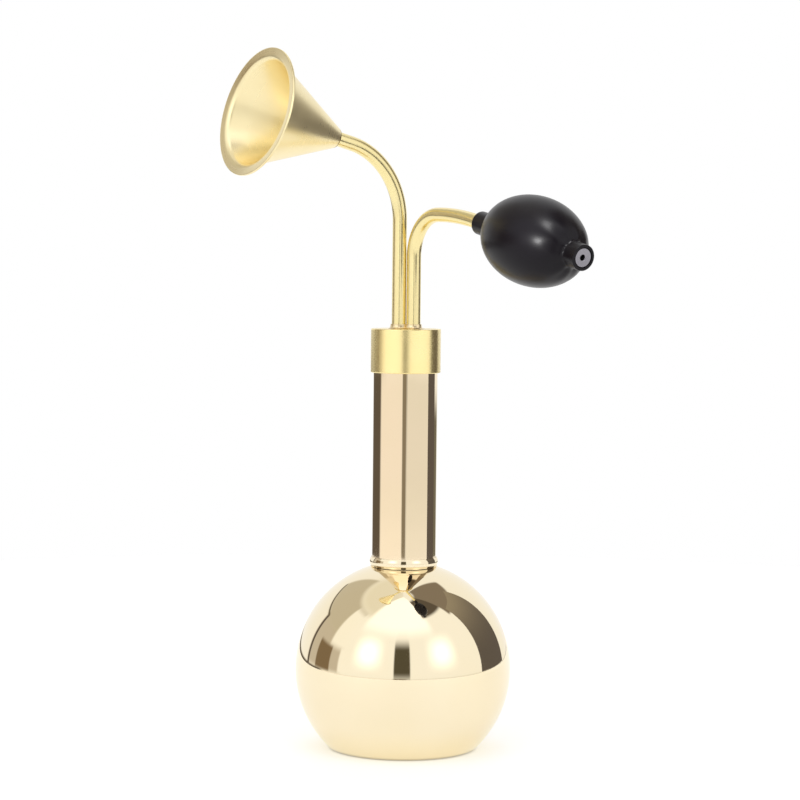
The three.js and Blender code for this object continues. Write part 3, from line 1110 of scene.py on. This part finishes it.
@dataclass
class Pipes(SubAssembly):
    """The two bent tubes, the solder at their feet and the dip tube."""

    radius: float = 0.003
    wall: float = 0.0008
    gap: float = 0.0002
    rim: float = 0.00015
    ceiling_drop: float = 0.0026  # the cap's ceiling below its top
    horn_rise: float = 0.0455
    horn_bend: float = 0.0321
    horn_elevation: float = math.radians(14)
    horn_stub: float = 0.0008
    horn_lead: float = 0.0079
    horn_end: float = 0.005
    pump_rise: float = 0.0304
    pump_bend: float = 0.0172
    pump_run: float = 0.026
    pump_droop: float = math.radians(11.5)
    pump_stub: float = 0.0095
    pump_lead: float = 0.0048
    pump_end: float = 0.0045
    solder_gap: float = 0.00015
    solder_width: float = 0.0015
    solder_height: float = 0.0018
    solder_top: float = 0.00045
    solder_steps: int = 10
    solder_waver: float = 0.00012
    solder_lobes: int = 5
    solder_swing: float = 2.0  # how far the lobes shift to and fro round the tube
    solder_swings: int = 3
    dip_wall: float = 0.001
    bend_steps: int = 120

    @property
    def offset(self) -> float:
        """How far each tube stands from the flask's axis along X and Y."""
        return (self.radius + self.gap / 2) / math.sqrt(2)

    @property
    def ceiling(self) -> float:
        """Height of the cap's ceiling."""
        return Extent.of("cap").top - self.ceiling_drop

    def horn_line(self) -> BentSpine:
        """Sets out the horn tube's centre line."""
        turn = math.pi / 2 - self.horn_elevation
        stretches = (
            Stretch(self.horn_stub + self.ceiling_drop + self.horn_rise),
            Stretch(self.horn_bend * turn, turn),
            Stretch(self.horn_lead + self.horn_end),
        )
        foot = Vector((-self.offset, self.offset, self.ceiling - self.horn_stub))
        return BentSpine(foot, math.pi, stretches)

    def pump_line(self) -> BentSpine:
        """Sets out the pump tube's centre line."""
        stretches = (
            Stretch(self.pump_stub + self.ceiling_drop + self.pump_rise),
            Stretch(self.pump_bend * math.pi / 2, math.pi / 2),
            Stretch(self.pump_run, self.pump_droop),
            Stretch(self.pump_lead + self.pump_end),
        )
        foot = Vector((self.offset, -self.offset, self.ceiling - self.pump_stub))
        return BentSpine(foot, -math.pi / 2, stretches)

    def build(self) -> None:
        """Builds and dresses the tubes, the dip tube and the solder."""
        for name, line in (("horn_tube", self.horn_line()), ("pump_tube", self.pump_line())):
            bore = self.radius - self.wall
            outline = Outline().corner(bore, line.reach, self.rim)
            outline.corner(bore, line.reach - self.rim * 2).straight(bore, self.rim * 2, self.bend_steps)
            outline.corner(bore, 0.0, self.rim).corner(self.radius, 0.0, self.rim)
            outline.corner(self.radius, self.rim * 2)
            outline.straight(self.radius, line.reach - self.rim * 2, self.bend_steps)
            outline.corner(self.radius, line.reach, self.rim)
            tube = Maker.turned(f"{name}_bent", outline, SMALL_SIDES, line)
            self.fit(tube, TUBE_BRASS, Body.CAP, name)
        self._dip_tube()
        self._solder()

    def _dip_tube(self) -> None:
        """Builds and dresses the dip tube on the pump tube's lower end."""
        low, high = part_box("dip_tube")
        inner = self.radius + SLIP_GAP
        outline = Outline.band(inner, inner + self.dip_wall, low.z, high.z, self.rim)
        _, pump_foot = self._feet()
        dip = Maker.turned("dip_pipe", outline, SMALL_SIDES, pump_foot)
        self.fit(dip, MILKY_PLASTIC, Body.CAP, "dip_tube")

    def holes(self, bottom: float, top: float) -> list[bpy.types.Object]:
        """Makes two bars that cut the tubes' holes.

        Args:
            bottom: height of the bars' lower ends.
            top: height of their upper ends.

        Returns:
            The bars.
        """
        outline = Outline.band(0.0, self.radius + self.solder_gap, bottom, top)
        return [Maker.turned("hole", outline, SMALL_SIDES, spine) for spine in self._feet()]

    def _feet(self) -> list[Spine]:
        """The upright axes of the horn tube and the pump tube."""
        places = ((-self.offset, self.offset, 0.0), (self.offset, -self.offset, 0.0))
        return [Spine(Matrix.Translation(place)) for place in places]

    def _solder(self) -> None:
        """Builds and dresses the hollow-sided fillet round both tubes' feet."""
        bottom = Extent.of("cap").top + SLIP_GAP
        top = bottom + self.solder_height
        lip = self.radius + self.solder_top
        outline = Outline().corner(0.0, bottom).corner(self.radius + self.solder_width, bottom)
        outline.bend((lip, bottom), (lip, top), self.solder_steps).corner(0.0, top)

        def wavering(radius: float, height: float, angle: float) -> float:
            """Lets the fillet's edge run in and out, as solder does."""
            reach = max((radius - self.radius) / self.solder_width, 0.0)
            shift = self.solder_swing * math.sin(self.solder_swings * angle)
            return radius + self.solder_waver * reach * math.sin(self.solder_lobes * angle + shift)

        first, second = (
            Maker.turned("tube_fillet", outline, SMALL_SIDES, foot, wavering) for foot in self._feet()
        )
        fillet = Maker.joined(first, second, Join.ADD)
        for hole in self.holes(bottom - self.solder_height, top + self.solder_height):
            fillet = Maker.joined(fillet, hole, Join.CUT)
        self.fit(fillet, SOLDER, Body.CAP, "tube_solder")


@dataclass
class Cap(SubAssembly):
    """The satin screw cap and its gasket."""

    neck: Neck
    pipes: Pipes
    chamfer: float = 0.0004
    wall: float = 0.00095
    rim: float = 0.00012
    gasket_edge: float = 0.0003

    def build(self) -> None:
        """Builds and dresses the cap and the gasket."""
        cap = Extent.of("cap")
        tube = Extent.of("neck_tube")
        bush = Extent.of("neck_finish")
        gasket = Extent.of("cap_gasket")
        thread = self.neck.thread
        ceiling = self.pipes.ceiling
        skirt = cap.radius - self.wall
        root = self.neck.crest(tube) + thread.gap
        mouth = self.neck.shoulder(tube) + SLIP_GAP
        outline = Outline().corner(skirt, cap.bottom, self.rim)
        outline.corner(cap.radius, cap.bottom, self.chamfer).corner(cap.radius, cap.top, self.chamfer)
        outline.corner(0.0, cap.top).corner(0.0, ceiling).corner(root, ceiling)
        outline.corner(root, mouth).corner(skirt, mouth)
        shell = Maker.turned("screw_cap", outline, WIDE_SIDES)
        crest = self.neck.crest(tube) - thread.depth + thread.gap
        half_way = self.neck.thread_start(tube) + thread.lead / thread.starts / 2
        thread.cut(shell, root, crest, half_way)
        for hole in self.pipes.holes(ceiling - self.wall, cap.top + self.wall):
            Maker.joined(shell, hole, Join.CUT)
        self.fit(shell, SATIN_BRASS, Body.CAP, "cap")
        bore = bush.radius - self.neck.finish_inset - thread.depth - self.neck.finish_wall
        ring = Outline.band(bore, gasket.radius, gasket.bottom, gasket.top, self.gasket_edge)
        seal = Maker.turned("gasket_ring", ring, WIDE_SIDES)
        self.fit(seal, BLACK_RUBBER, Body.GASKET, "cap_gasket")


@dataclass
class Horn(SubAssembly):
    """The cone horn with its flare and flat lip, and the sleeve that holds it on the tube."""

    pipes: Pipes
    length: float = 0.0396
    mouth_radius: float = 0.0267
    lip_width: float = 0.0034
    lip_thickness: float = 0.0012
    lip_dish: float = 0.0005
    lip_edge: float = 0.00045
    flare_width: float = 0.0012
    flare_depth: float = 0.0009
    flare_reach: float = 0.0017  # the bend's length on the cone and on the lip
    flare_steps: int = 12
    wall: float = 0.0008
    throat_edge: float = 0.0002
    lip_fillet: float = 0.0006
    # width of the painted shade round the throat, where the horn meets its tube
    seam: float = 0.0009
    socket_wall: float = 0.0005
    socket_past: float = 0.001

    def build(self) -> None:
        """Builds and dresses the horn and its sleeve."""
        line = self.pipes.horn_line()
        spine = Spine(line.at(line.reach - self.pipes.horn_end))
        throat = self.pipes.radius + SLANT_GAP
        mouth = self.mouth_radius - self.lip_width
        lip_back = self.length - self.lip_thickness
        lip_inside = self.length - self.lip_dish
        flare = lip_inside - self.flare_depth
        cone = mouth - self.flare_width
        slope = (cone - throat) / flare

        def inside(height: float) -> float:
            """The cone's inner radius at a height."""
            return throat + slope * height

        outline = Outline().corner(throat, 0.0, self.throat_edge)
        outline.corner(throat + self.wall, 0.0, self.throat_edge)
        outline.corner(inside(lip_back) + self.wall, lip_back, self.lip_fillet)
        outline.corner(self.mouth_radius, lip_back, self.lip_edge)
        outline.corner(self.mouth_radius, self.length, self.lip_edge)
        lip_slope = self.lip_width / self.lip_dish
        turn_height = (lip_slope * self.length - self.mouth_radius + throat) / (lip_slope - slope)
        turn = Vector((inside(turn_height), turn_height))
        onto_lip = turn + Vector((lip_slope, 1.0)).normalized() * self.flare_reach
        onto_cone = turn - Vector((slope, 1.0)).normalized() * self.flare_reach
        outline.corner(*onto_lip).bend(tuple(turn), tuple(onto_cone), self.flare_steps)
        bell = Maker.turned("horn_bell", outline, WIDE_SIDES, spine)
        brass = replace(HORN_BRASS, axis=Axis.of(spine.place), seam=self.seam)
        self.fit(bell, brass, Body.CAP, "horn")
        start = (SLANT_GAP + self.socket_wall) / slope
        end = self.pipes.horn_end + self.socket_past
        sleeve = Outline().corner(throat, start).corner(inside(start) - SLANT_GAP, start)
        sleeve.corner(inside(end) - SLANT_GAP, end, self.throat_edge).corner(throat, end, self.throat_edge)
        socket = Maker.turned("horn_sleeve", sleeve, SMALL_SIDES, spine)
        self.fit(socket, HORN_BRASS, Body.CAP, "horn_socket")


@dataclass
class Bulb(SubAssembly):
    """The rubber bulb with a ball valve at each end."""

    pipes: Pipes
    neck_length: float = 0.01
    neck_wall: float = 0.0015
    radius: float = 0.0179
    half_length: float = 0.02635
    nose_length: float = 0.0057
    nose_lip: float = 0.00115
    wall: float = 0.002
    fillet: float = 0.0022
    edge: float = 0.0003
    egg_steps: int = 64
    hollow_steps: int = 40
    flange_width: float = 0.0007
    flange_thickness: float = 0.001
    seat_thickness: float = 0.002
    valve_wall: float = 0.0011
    valve_edge: float = 0.00012
    ball_gap: float = 0.0004
    seat_width: float = 0.00045
    ball_travel: float = 0.0009
    retainer_thickness: float = 0.0012
    retainer_recess: float = 0.0006
    outlet_gap: float = 0.0005
    inlet_recess: float = 0.0002
    disc_dish: float = 0.0002
    funnel: float = 0.0006
    crease_count: int = 9
    crease_depth: float = 0.0002
    crease_reach: float = 0.004
    crease_swings: int = 2  # how often the creases crowd together round the nose

    @property
    def length(self) -> float:
        """The bulb's length from its open end to the end of its nose."""
        return self.neck_length + 2 * self.half_length + self.nose_length

    @property
    def valve_radius(self) -> float:
        """The valves are as wide as the tube, so that one bore takes both."""
        return self.pipes.radius

    @property
    def flange_radius(self) -> float:
        """Radius of the inlet valve's disc."""
        return self.valve_radius + self.flange_width

    @property
    def chamber(self) -> float:
        """Radius of a valve's chamber."""
        return self.valve_radius - self.valve_wall

    @property
    def ball(self) -> float:
        """Radius of a valve's ball."""
        return self.chamber - self.ball_gap

    @property
    def hole(self) -> float:
        """Radius of the hole that a ball closes."""
        return self.ball - self.seat_width

    def build(self) -> None:
        """Builds and dresses the bulb and its valves."""
        line = self.pipes.pump_line()
        spine = Spine(line.at(line.reach - self.pipes.pump_end))
        self._shell(spine)
        on_seat = SLIP_GAP + math.sqrt(self.ball**2 - self.hole**2)
        drop = on_seat + self.ball + self.ball_travel + SLIP_GAP
        length = self.seat_thickness + drop + self.retainer_thickness + self.retainer_recess
        inlet_end = self.length - self.inlet_recess
        outlet_end = self.pipes.pump_end + self.outlet_gap + length
        steel = replace(VALVE_STEEL, name="bulb_steel", axis=Axis.of(spine.place))
        inlet = self._valve("inlet_disc", inlet_end, length, self.flange_radius, spine)
        self.fit(inlet, steel, Body.BULB_END, "inlet_valve_body")
        outlet = self._valve("outlet_barrel", outlet_end, length, self.valve_radius, spine)
        self.fit(outlet, steel, Body.CAP, "outlet_valve_body")
        for side in ("inlet", "outlet"):
            self.dress(f"{side}_valve_ball", BLACK_RUBBER)
            self.dress(f"{side}_valve_retainer", steel)

    def _valve(
        self, name: str, end: float, length: float, flange: float, spine: Spine
    ) -> bpy.types.Object:
        """Builds a valve's body.

        Args:
            name: the piece's name.
            end: where its outer face lies along the bulb.
            length: its length.
            flange: the radius of its outer face.
            spine: the bulb's axis.

        Returns:
            The body.
        """
        seat = end - self.seat_thickness
        outline = Outline().corner(self.chamber, end - length, self.valve_edge)
        outline.corner(self.valve_radius, end - length, self.valve_edge)
        if flange > self.valve_radius:
            outline.corner(self.valve_radius, end - self.flange_thickness)
            outline.corner(flange, end - self.flange_thickness, self.valve_edge)
        outline.corner(flange, end, 2 * self.valve_edge)
        outline.corner(self.hole, end - self.disc_dish, self.funnel)
        outline.corner(self.hole, seat).corner(self.chamber, seat)
        return Maker.turned(name, outline, SMALL_SIDES, spine)

    def _shell(self, spine: Spine) -> None:
        """Builds and dresses the hollow bulb.

        Args:
            spine: the bulb's axis from its open end.
        """
        centre = self.neck_length + self.half_length
        bore = self.valve_radius + SLANT_GAP
        neck = bore + self.neck_wall
        recess_radius = self.flange_radius + SLANT_GAP
        nose = recess_radius + self.nose_lip
        recess = self.inlet_recess + self.flange_thickness + SLANT_GAP

        def angle_at(radius: float, wide: float) -> float:
            """The angle at which an arc of that width has a radius."""
            return math.acos(radius / wide)

        def height_at(angle: float) -> float:
            """The height of the egg's skin at an angle."""
            return centre + self.half_length * math.sin(angle)

        neck_angle = -angle_at(neck + self.fillet, self.radius)
        nose_angle = angle_at(nose + self.fillet, self.radius)
        outline = Outline().corner(bore, 0.0, self.edge).corner(neck, 0.0, self.edge)
        outline.corner(neck, height_at(neck_angle) - self.fillet)
        outline.bend(
            (neck, height_at(-angle_at(neck, self.radius))),
            (neck + self.fillet, height_at(neck_angle)),
        )
        outline.arc(centre, (self.radius, self.half_length), neck_angle, nose_angle, self.egg_steps)
        outline.bend(
            (nose, height_at(angle_at(nose, self.radius))),
            (nose, height_at(nose_angle) + self.fillet),
        )
        outline.corner(nose, self.length, self.edge).corner(recess_radius, self.length, self.edge)
        outline.corner(recess_radius, self.length - recess).corner(bore, self.length - recess)
        inner = (self.radius - self.wall, self.half_length - self.wall)
        bore_angle = angle_at(bore, inner[0])
        outline.arc(centre, inner, bore_angle, -bore_angle, self.hollow_steps)
        crease_middle = height_at(nose_angle)

        def creased(radius: float, height: float, angle: float) -> float:
            """Puckers the skin round the foot of the nose."""
            if radius < nose:
                return radius
            nearness = math.exp(-(((height - crease_middle) / self.crease_reach) ** 2))
            fold = math.cos(self.crease_count * angle + math.sin(self.crease_swings * angle))
            return radius + self.crease_depth * nearness * fold

        shell = Maker.turned("squeeze_bulb", outline, WIDE_SIDES, spine, creased)
        self.stand_in(shell, BLACK_RUBBER, "bulb")
        start = spine.at(self.neck_length).translation
        end = spine.at(self.length - self.nose_length).translation
        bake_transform(shell)
        log.info("%s: %d faces, shortens in its egg", shell.name, len(shell.data.polygons))


@dataclass(frozen=True)
class Panel:
    """A soft-edged patch of the studio, seen from the flask. Angles are in degrees.

    A bearing of 0 lies towards the camera, and a positive one to the camera's right.
    """

    left: float
    right: float
    low: float
    high: float
    side_blur: float
    end_blur: float
    colour: Colour


@dataclass(frozen=True)
class Lamp:
    """A soft round lamp that lights a few pieces alone. Its bearing and elevation are as a panel's."""

    aim: str
    pieces: tuple[str, ...]
    bearing: float
    elevation: float
    width: float
    watts: float
    ahead: float = 0.0  # how far in front of the piece's middle it points

    def light(self) -> bpy.types.Light:
        """Makes the lamp's light."""
        light = bpy.data.lights.new("lamp", "AREA")
        light.shape = "DISK"
        light.size = self.width
        light.energy = self.watts
        return light


@dataclass(frozen=True)
class Spot(Lamp):
    """A small lamp with a narrow beam, which lights one spot of a piece and leaves its edges alone."""

    beam: float = 2.4

    def light(self) -> bpy.types.Light:
        """Makes the lamp's light."""
        light = bpy.data.lights.new("spot", "SPOT")
        light.shadow_soft_size = self.width / 2
        light.spot_size = math.radians(self.beam)
        light.spot_blend = 1.0
        light.energy = self.watts
        return light


@dataclass(frozen=True)
class Card:
    """A dark card near the flask, which shows only in what shines. Its bearings are as a panel's."""

    left: float
    right: float
    bottom: float
    top: float
    distance: float
    colour: Colour
    fade_start: float
    top_colour: Colour
    steps: int = 24


@dataclass
class Studio:
    """The pale floor, the soft light round the flask and the camera."""

    floor_radius: float = 0.68
    floor_thickness: float = 0.004
    floor_drop: float = 0.00005
    room: Colour = (1.0, 1.0, 1.0)
    lamp_distance: float = 0.6
    camera_azimuth: float = math.radians(-34)
    camera_place: Place = (-0.5890, -0.8692, 0.2080)
    camera_pitch: float = math.radians(3.32)
    camera_roll: float = math.radians(0.54)
    focal_pixels: float = 2500.0
    picture_pixels: float = 800.0
    sensor_width: float = 36.0
    near_clip: float = 0.01
    panels: tuple[Panel, ...] = (
        # ceiling and wall on the left
        Panel(-181.0, -40.0, 56.0, 91.0, 25.0, 8.0, (0.86, 0.83, 0.74)),
        Panel(-125.0, -70.0, -2.0, 30.0, 1.5, 3.0, (0.60, 0.55, 0.49)),
        Panel(-154.0, -70.0, 27.0, 56.0, 2.0, 3.0, (0.59, 0.55, 0.47)),
        # two soft boxes and the light over the camera
        Panel(-92.0, -8.0, 18.0, 54.0, 2.0, 4.0, (1.06, 1.06, 1.06)),
        Panel(-74.0, -8.0, -2.5, 20.0, 1.5, 3.0, (1.06, 1.06, 1.06)),
        Panel(6.0, 92.0, -2.5, 60.0, 1.5, 3.0, (1.04, 1.04, 1.04)),
        Panel(-60.0, 42.0, 45.0, 91.0, 6.0, 9.0, (1.35, 1.35, 1.4)),
        # dark room over the top right
        Panel(38.0, 90.0, 60.0, 82.0, 2.0, 2.0, (0.11, 0.09, 0.07)),
        Panel(87.0, 150.0, 50.0, 82.0, 2.0, 1.5, (0.24, 0.20, 0.16)),
        # things on the left
        Panel(-108.0, -86.0, -2.2, 17.0, 1.2, 2.0, (0.22, 0.16, 0.10)),
        Panel(-124.0, -120.5, -4.0, 28.0, 0.6, 1.0, (0.12, 0.10, 0.09)),
        Panel(-154.0, -120.5, 26.2, 28.0, 1.0, 0.5, (0.16, 0.14, 0.11)),
        # below the horizon, which shows mostly in the neck and the cap
        Panel(-98.0, -8.0, -9.0, -2.6, 2.0, 0.4, (0.98, 0.94, 0.90)),
        Panel(6.0, 100.0, -9.0, -2.6, 2.0, 0.4, (0.86, 0.85, 0.82)),
        Panel(-98.0, -8.0, -9.0, -6.0, 2.0, 1.0, (1.06, 1.02, 0.97)),
        Panel(6.0, 100.0, -9.0, -6.0, 2.0, 1.0, (0.96, 0.95, 0.92)),
        Panel(-163.0, -98.0, -9.0, -2.2, 5.0, 0.6, (0.12, 0.10, 0.08)),
        Panel(126.0, 157.0, -9.0, -3.4, 2.0, 0.5, (0.18, 0.17, 0.13)),
        # gap between the soft boxes
        Panel(-9.8, 7.7, -2.2, 34.0, 1.0, 7.0, (0.095, 0.083, 0.055)),
        Panel(-9.8, 4.0, -9.0, -2.2, 2.5, 0.6, (0.26, 0.23, 0.18)),
        # glow of two lamps through the soft boxes
        Panel(-43.0, -37.0, 19.0, 25.0, 19.0, 19.0, (7.0, 7.0, 7.2)),
        Panel(42.0, 48.0, 19.0, 25.0, 19.0, 19.0, (6.4, 6.4, 6.6)),
    )
    card: Card = Card(
        left=89.0, right=129.0, bottom=0.015, top=0.75, distance=0.5,
        colour=(0.12, 0.105, 0.10), fade_start=0.1, top_colour=(0.31, 0.27, 0.21),
    )
    lamps: tuple[Lamp, ...] = (
        Spot("bulb", ("squeeze_bulb",), -35.0, 13.0, 0.016, 15.0, 0.018),
        Lamp("bulb", ("squeeze_bulb",), -11.0, 62.0, 0.18, 1.5),
        Lamp("cap", ("screw_cap",), -48.0, 0.0, 0.85, 0.38),
        Lamp("cap", ("screw_cap", "horn_bell", "horn_sleeve"), 48.0, 0.0, 0.85, 0.38),
        Lamp("cap", ("horn_bell", "horn_sleeve"), -12.0, 18.0, 0.6, 0.2),
        Lamp("horn", ("horn_bell",), 80.0, -8.0, 0.6, 0.19),
        Lamp("pump_tube", ("horn_tube_bent", "pump_tube_bent"), -10.0, 5.0, 0.2, 0.06),
    )

    def build(self) -> None:
        """Builds the floor, the light and the camera."""
        self._floor()
        self._light()
        self._hang_lamps()
        self._stand_card()
        self._camera()

    def _floor(self) -> None:
        """Builds a pale round table top under the flask."""
        top, bottom = -self.floor_drop, -self.floor_drop - self.floor_thickness
        outline = Outline.band(0.0, self.floor_radius, bottom, top, self.floor_thickness / 3)
        floor = Maker.turned("floor", outline, WIDE_SIDES)
        floor.data.materials.append(FLOOR_PAINT.material())

    def _light(self) -> None:
        """Lights the room with soft panels, and shows the camera a plain white backdrop."""
        world = bpy.data.worlds.new("studio")
        bpy.context.scene.world = world
        world.use_nodes = True
        bench = Bench(world.node_tree)
        direction = bench.node("ShaderNodeTexCoord", output="Generated")
        right = (math.cos(self.camera_azimuth), math.sin(self.camera_azimuth), 0.0)
        toward = (math.sin(self.camera_azimuth), -math.cos(self.camera_azimuth), 0.0)
        degrees = math.degrees(1)
        bearing = bench.math("ARCTAN2", bench.dot(direction, right), bench.dot(direction, toward)) * degrees
        elevation = bench.math("ARCSINE", bench.dot(direction, UPWARDS)) * degrees
        colour: Value = self.room
        for panel in self.panels:
            colour = bench.mix(self._share(bench, panel, bearing, elevation), colour, panel.colour)
        seen = bench.node("ShaderNodeLightPath", output="Is Camera Ray")
        shown = bench.mix(seen, colour, self.room)
        background = bench.node("ShaderNodeBackground", None, {"Color": shown})
        bench.node("ShaderNodeOutputWorld", None, {"Surface": background})

    def _heading(self, bearing: float = 0.0) -> Matrix:
        """The turn about the flask's axis that faces a bearing in degrees."""
        return Matrix.Rotation(self.camera_azimuth + math.radians(bearing), 4, "Z")

    def _hang_lamps(self) -> None:
        """Hangs the lamps that light the bulb, the satin brass and the tubes."""
        for lamp in self.lamps:
            lit = bpy.data.collections.new("lit_by_lamp")
            for piece in lamp.pieces:
                lit.objects.link(bpy.data.objects[piece])
            hung = bpy.data.objects.new("lamp", lamp.light())
            bpy.context.scene.collection.objects.link(hung)
            low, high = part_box(lamp.aim)
            target = (low + high) / 2 + self._heading() @ Vector((0.0, -lamp.ahead, 0.0))
            tilt = Matrix.Rotation(math.pi / 2 - math.radians(lamp.elevation), 4, "X")
            away = Matrix.Translation((0.0, 0.0, self.lamp_distance))
            hung.matrix_world = Matrix.Translation(target) @ self._heading(lamp.bearing) @ tilt @ away
            hung.light_linking.receiver_collection = lit

    def _stand_card(self) -> None:
        """Stands the dark card on the right, bent round the flask."""
        card = self.card
        shape = bmesh.new()
        rings = []
        for step in range(card.steps + 1):
            bearing = card.left + (card.right - card.left) * step / card.steps
            foot = self._heading(bearing) @ Vector((0.0, -card.distance, 0.0))
            rings.append([shape.verts.new((foot.x, foot.y, height)) for height in (card.bottom, card.top)])
        for ring, following in zip(rings, rings[1:]):
            shape.faces.new((*ring, *reversed(following)))
        sheet = Maker.object_of("dark_card", shape)
        paper = CardPaper("card_paper", None, card.colour, card.top_colour, card.fade_start, card.top)
        sheet.data.materials.append(paper.material())
        sheet.visible_camera = False
        sheet.visible_diffuse = False
        sheet.visible_shadow = False

    @staticmethod
    def _share(bench: Bench, panel: Panel, bearing: Wire, elevation: Wire) -> Wire:
        """Says how much of a panel shows in a direction.

        Args:
            bench: the world's bench.
            panel: the panel.
            bearing: the direction's bearing in degrees.
            elevation: its elevation in degrees.

        Returns:
            A share of 0 to 1.
        """
        side, end = panel.side_blur, panel.end_blur
        from_left = bench.step(bearing, panel.left - side, panel.left + side)
        from_right = 1 - bench.step(bearing, panel.right - side, panel.right + side)
        from_low = bench.step(elevation, panel.low - end, panel.low + end)
        from_high = 1 - bench.step(elevation, panel.high - end, panel.high + end)
        return from_left * from_right * from_low * from_high

    def _camera(self) -> None:
        """Sets the camera where the picture was taken from."""
        data = bpy.data.cameras.new("picture")
        data.sensor_width = self.sensor_width
        data.lens = self.focal_pixels / self.picture_pixels * self.sensor_width
        data.clip_start = self.near_clip
        camera = bpy.data.objects.new("picture", data)
        bpy.context.scene.collection.objects.link(camera)
        level = Matrix.Rotation(math.pi / 2 - self.camera_pitch, 4, "X")
        roll = Matrix.Rotation(self.camera_roll, 4, "Z")
        camera.matrix_world = Matrix.Translation(self.camera_place) @ self._heading() @ level @ roll
        bpy.context.scene.camera = camera
        bpy.context.scene.view_settings.view_transform = "Standard"


def main() -> None:
    """Builds the sub-assemblies in order, from the bowl up, and then the studio."""
    logging.basicConfig(level=logging.INFO, format="%(name)s: %(message)s")
    thread = Thread()
    neck = Neck(thread)
    pipes = Pipes()
    for part in (Bowl(), neck, Cap(neck, pipes), pipes, Horn(pipes), Bulb(pipes)):
        part.build()
    Studio().build()


if __name__ == "__main__":
    main()
